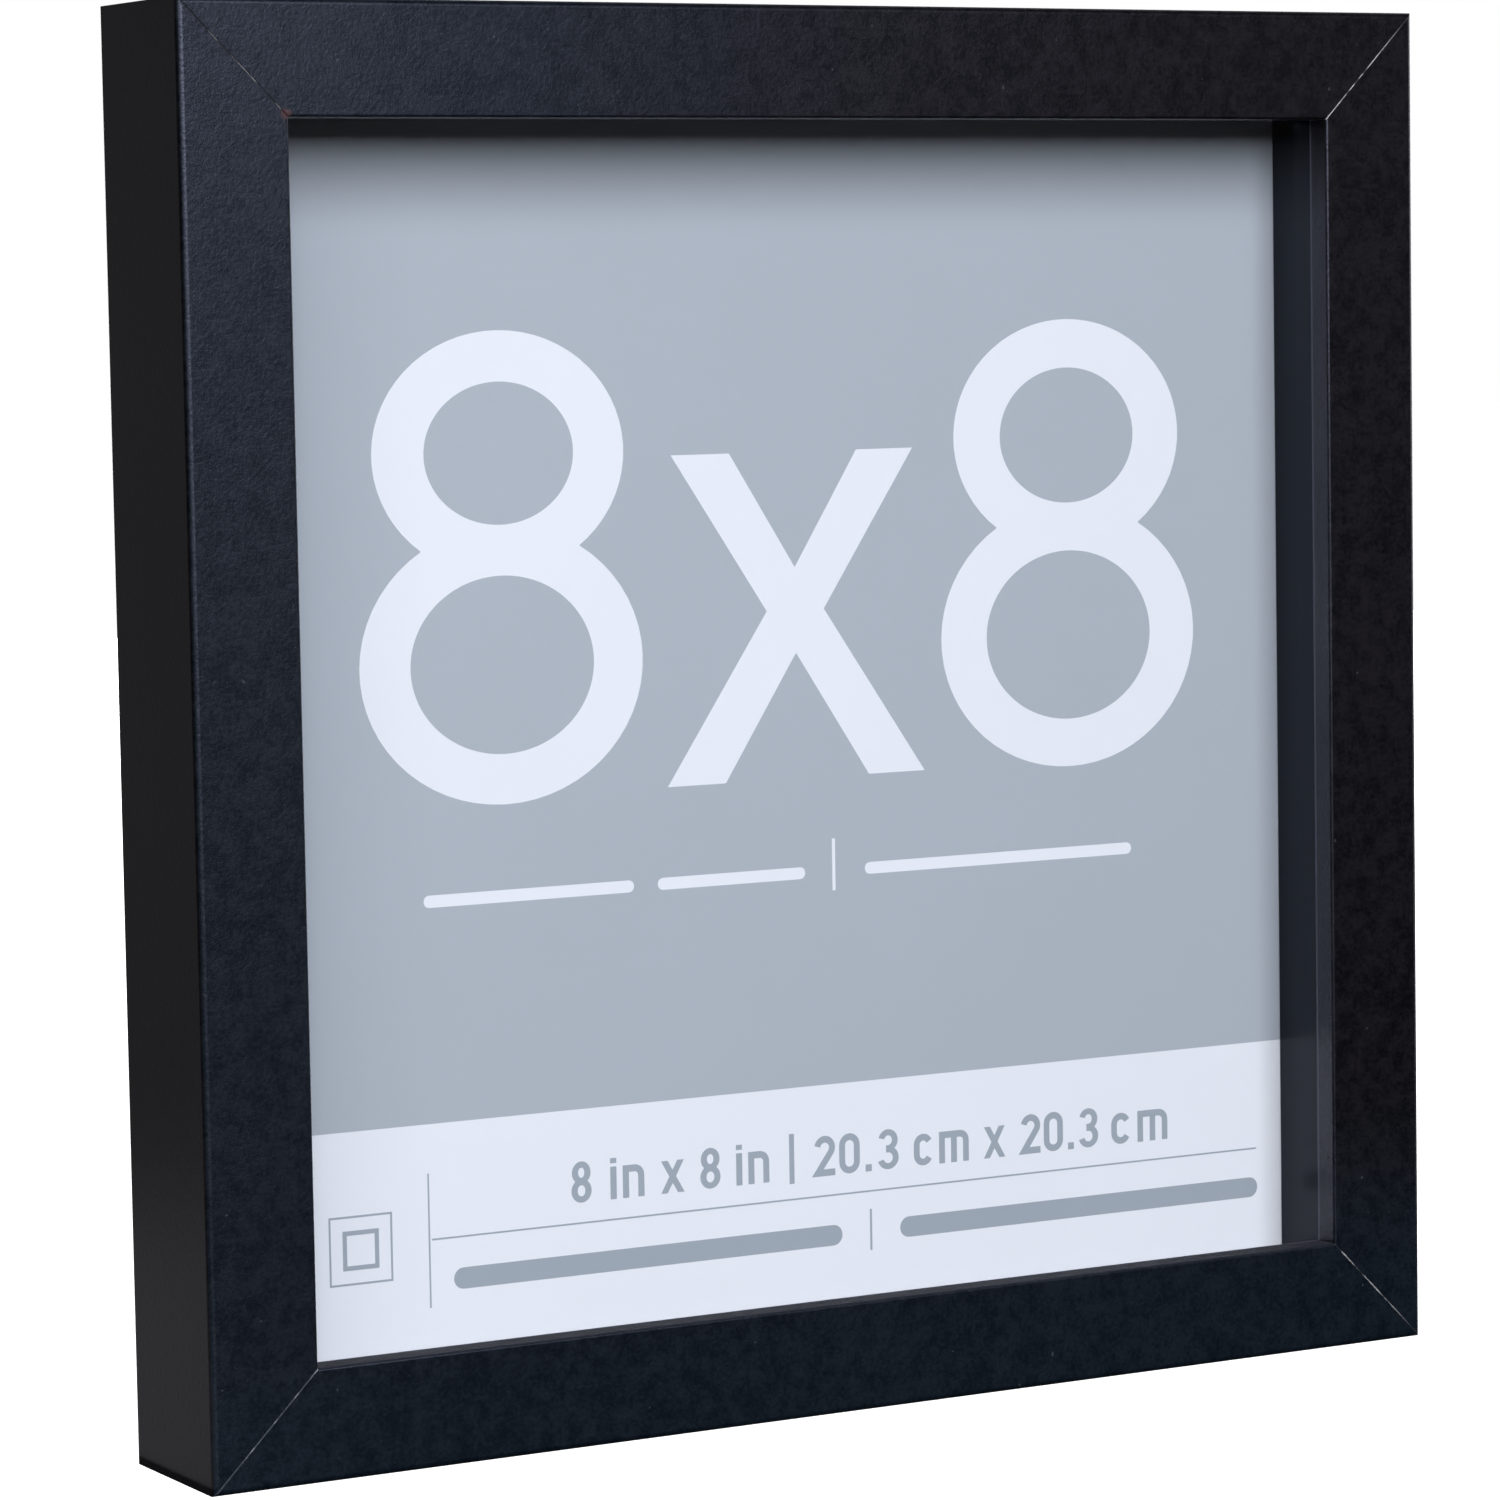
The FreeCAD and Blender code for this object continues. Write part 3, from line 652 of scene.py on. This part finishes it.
def shoulder(right, radius):
    """The rounded upper right corner of an n or an m, from its top to its inner edge."""
    middle = (right - radius, SMALL_HEIGHT - radius)
    inner = radius - STROKE
    outside = arc(middle, (radius, radius), 90, 0, 8)
    inside = arc(middle, (inner, inner), 0, 90, 8)
    return outside + [(right, 0), (right - STROKE, 0)] + inside


def glyph_n(width):
    under = SMALL_HEIGHT - STROKE
    outline = [(0, 0), (0, SMALL_HEIGHT)] + shoulder(width, 0.45 * width)
    return [outline + [(STROKE, under), (STROKE, 0)]]


def glyph_m(width):
    under = SMALL_HEIGHT - STROKE
    left, right = (width - STROKE) / 2, (width + STROKE) / 2
    outline = [(0, 0), (0, SMALL_HEIGHT)] + shoulder(width, 0.3 * width)
    outline += [(right, under), (right, 0), (left, 0), (left, under)]
    return [outline + [(STROKE, under), (STROKE, 0)]]


def glyph_c(width):
    radius = (width - STROKE) / 2
    top = arc((width / 2, SMALL_HEIGHT - width / 2), (radius, radius), 25, 180, 12)
    foot = arc((width / 2, width / 2), (radius, radius), 180, 335, 12)
    return [stroke(top + foot)]


def glyph_x(width):
    half = width / 2
    top, foot = (0.97 * half, 0.41 * half), (half, 0.44 * half)
    return [multiply_sign(half, 0, SMALL_HEIGHT, top, foot, (0.285 * half, 1.09))]


# Each glyph's left edge and width, in millimetres across the paper.
SIZE_BASE = 35.5
SIZE_LINE = (
    (glyph_eight, -40.6, 3.7), (glyph_i, -33.4, STROKE), (glyph_n, -31.1, 4.0),
    (glyph_x, -24.0, 4.4),
    (glyph_eight, -16.6, 3.8), (glyph_i, -9.8, STROKE), (glyph_n, -7.5, 4.0),
    (glyph_two, 5.2, 4.0), (glyph_zero, 10.0, 4.0), (glyph_point, 15.1, 1.2),
    (glyph_three, 17.5, 4.1), (glyph_c, 24.6, 3.7), (glyph_m, 29.6, 5.9),
    (glyph_x, 38.5, 4.3),
    (glyph_two, 46.0, 3.9), (glyph_zero, 50.6, 3.9), (glyph_point, 55.5, 1.2),
    (glyph_three, 57.7, 4.0), (glyph_c, 64.4, 3.9), (glyph_m, 69.8, 6.2),
)


def size_line():
    """The box's size in inches and in centimetres, as outlines on the paper."""
    outlines = [bar(0.35, 1.3, SIZE_BASE - 0.7, SIZE_BASE + 7.7, 0)]
    for glyph, left, width in SIZE_LINE:
        for outline in glyph(width):
            outlines.append([(left + x, SIZE_BASE + y) for x, y in outline])
    return outlines


def square_ring(middle, half, line):
    """A square outline and the hole in it."""
    across, up = middle
    inner = half - line
    return [
        bar(across - half, across + half, up - half, up + half, 0),
        bar(across - inner, across + inner, up - inner, up + inner, 0),
    ]


# Plain bars take the place of words. Rows are (left, right, low, high).
CAPTION_WORDS = (
    (-66.2, -28.0, 85.7, 87.7),
    (-23.6, 4.3, 85.7, 87.7),
    (15.8, 69.1, 85.7, 87.7),
)
CAPTION_DIVIDER = (9.5, 10.1, 83.4, 92.1)
FOOT_WORDS = ((-62.2, 10.4, 23.6, 27.1), (21.7, 94.8, 23.6, 27.1))
RULES = (
    (-66.6, -66.3, 21.1, 42.9),
    (-66.0, 94.6, 32.0, 32.3),
    (15.8, 16.2, 22.1, 29.1),
)
EMBLEM_MIDDLE = (-78.6, 31.8)


def make_print():
    ink = paper_material("ink_grey", FIELD_GREYS)
    dark = paper_material("ink_dark", LINE_GREYS)
    half = INSERT_HIGH.x / MM
    field = [bar(-half, half, BAND_TOP, INSERT_HIGH.z / MM, 0)]
    for across in EIGHT_CENTRES:
        field += figure_eight(across, UPPER_RING, LOWER_RING)
    field.append(multiply_sign(**BIG_X))
    field.append(bar(*CAPTION_DIVIDER, 0))
    field += [bar(*word) for word in CAPTION_WORDS]
    print_shapes("insert_print_field", field, ink)

    rules = [bar(*rule, 0) for rule in RULES] + [bar(*word) for word in FOOT_WORDS]
    print_shapes("insert_print_rules", rules, dark)
    print_shapes("insert_print_sizes", size_line(), dark)
    emblem = square_ring(EMBLEM_MIDDLE, 5.6, 0.35) + square_ring(EMBLEM_MIDDLE, 3.2, 0.75)
    print_shapes("insert_print_emblem", emblem, dark)


# ------------------------------------------------------- camera, lights, floor and world

# The camera stands to the left, a little above the middle of the box.
CAMERA_AT = Vector((-0.4407, FRONT - 0.7498, 0.1819))
CAMERA_YAW = math.radians(29.427)
CAMERA_PITCH = math.radians(-4.789)
CAMERA_ROLL = math.radians(-0.958)
CAMERA_LENS = 129.24
SENSOR_WIDTH = 36.0
KEY_COLOUR = (0.945, 0.975, 1.06)
AMBIENT_COLOUR = (1, 0.95, 1, 1)
AMBIENT_STRENGTH = 0.028
FLOOR_SIDE = 12
FLOOR_GLOW = 0.985


def make_camera():
    data = bpy.data.cameras.new("camera")
    data.lens = CAMERA_LENS
    data.sensor_width = SENSOR_WIDTH
    data.clip_start = 0.01
    camera = bpy.data.objects.new("camera", data)
    upright = Matrix.Rotation(math.pi / 2, 4, "X")
    turn = Matrix.Rotation(-CAMERA_YAW, 4, "Z")
    tip = Matrix.Rotation(CAMERA_PITCH, 4, "X")
    roll = Matrix.Rotation(CAMERA_ROLL, 4, "Z")
    camera.matrix_world = Matrix.Translation(CAMERA_AT) @ turn @ upright @ tip @ roll
    bpy.context.scene.collection.objects.link(camera)
    bpy.context.scene.camera = camera


def area_light(name, place, aim, size, power, colour=(1, 1, 1)):
    data = bpy.data.lights.new(name, "AREA")
    data.shape = "RECTANGLE"
    data.size, data.size_y = size
    data.energy = power
    data.color = colour
    light = bpy.data.objects.new(name, data)
    light.location = place
    light.rotation_euler = (Vector(aim) - Vector(place)).to_track_quat("-Z", "Y").to_euler()
    light.visible_camera = False
    bpy.context.scene.collection.objects.link(light)
    return light


def around(azimuth, elevation, distance):
    """A place at an angle from the frame's middle: azimuth 0 is straight in front and
    grows to the right, elevation grows upwards, both in degrees."""
    a, e = math.radians(azimuth), math.radians(elevation)
    flat = distance * math.cos(e)
    middle = Vector((0, FRONT, MIDDLE_Z))
    return middle + Vector((flat * math.sin(a), -flat * math.cos(a), distance * math.sin(e)))


def make_lights():
    """A large softbox in front, high and to the left, gives nearly all the light, with a
    dim one beside it. Cards add reflections in the film, and one light does the rear."""
    middle = (0, FRONT, MIDDLE_Z)
    area_light("key_softbox", around(-13, 24, 2.4), middle, (1.5, 1.4), 71, KEY_COLOUR)
    area_light("side_softbox", around(-46, 20, 2.0), middle, (0.9, 0.9), 9)
    area_light("rear_softbox", around(154, 18, 2.0), middle, (1.4, 1.6), 40)
    cards = (
        area_light("front_card", around(11, 24, 2.4), middle, (0.55, 1.4), 17.5, KEY_COLOUR),
        area_light("right_card", around(112, 14, 1.8), middle, (0.7, 1.2), 8),
        area_light("far_card", around(77, 10, 1.8), middle, (0.6, 1.2), 5),
        area_light("floor_card", (-0.2, 0.08, 0.001), (-0.2, 0.08, 1), (0.17, 0.3), 0.03),
        area_light("corner_card", around(-150, 0, 1.1), middle, (0.8, 0.5), 0.12),
    )
    for card in cards:
        card.visible_diffuse = False


def make_floor():
    """A white floor that glows a little, as one lit from below does. Its light is kept
    off the object."""
    bpy.ops.mesh.primitive_grid_add(x_subdivisions=2, y_subdivisions=2, size=FLOOR_SIDE)
    floor = bpy.context.object
    floor.name = "floor"
    floor.location.z = CAD_LOW.z
    floor.visible_diffuse = False
    floor.visible_glossy = False
    s = Surface("floor")
    t = s.tree
    cloud = noise(t, s.place, 0.2, 2.0)
    s.set(Base_Color=blend(t, cloud, (0.88, 0.88, 0.88, 1), (0.92, 0.92, 0.92, 1)))
    s.set(Roughness=0.9, Emission_Color=(1, 1, 1, 1), Emission_Strength=FLOOR_GLOW)
    floor.data.materials.append(s.material)


def make_world():
    """White behind the object, and a dim even light from all round on it."""
    world = bpy.data.worlds.new("world")
    bpy.context.scene.world = world
    world.use_nodes = True
    t = world.node_tree
    t.nodes.clear()
    seen = add(t, "ShaderNodeBackground", {"Color": (1, 1, 1, 1), "Strength": 1.0})
    even_light = {"Color": AMBIENT_COLOUR, "Strength": AMBIENT_STRENGTH}
    ambient = add(t, "ShaderNodeBackground", even_light)
    rays = add(t, "ShaderNodeLightPath")
    mix = add(t, "ShaderNodeMixShader", {0: rays.outputs["Is Camera Ray"]})
    t.links.new(ambient.outputs[0], mix.inputs[1])
    t.links.new(seen.outputs[0], mix.inputs[2])
    output = add(t, "ShaderNodeOutputWorld")
    t.links.new(mix.outputs[0], output.inputs["Surface"])


dress_cad()
make_print()
make_camera()
make_lights()
make_floor()
make_world()
bpy.context.scene.view_settings.view_transform = "Standard"
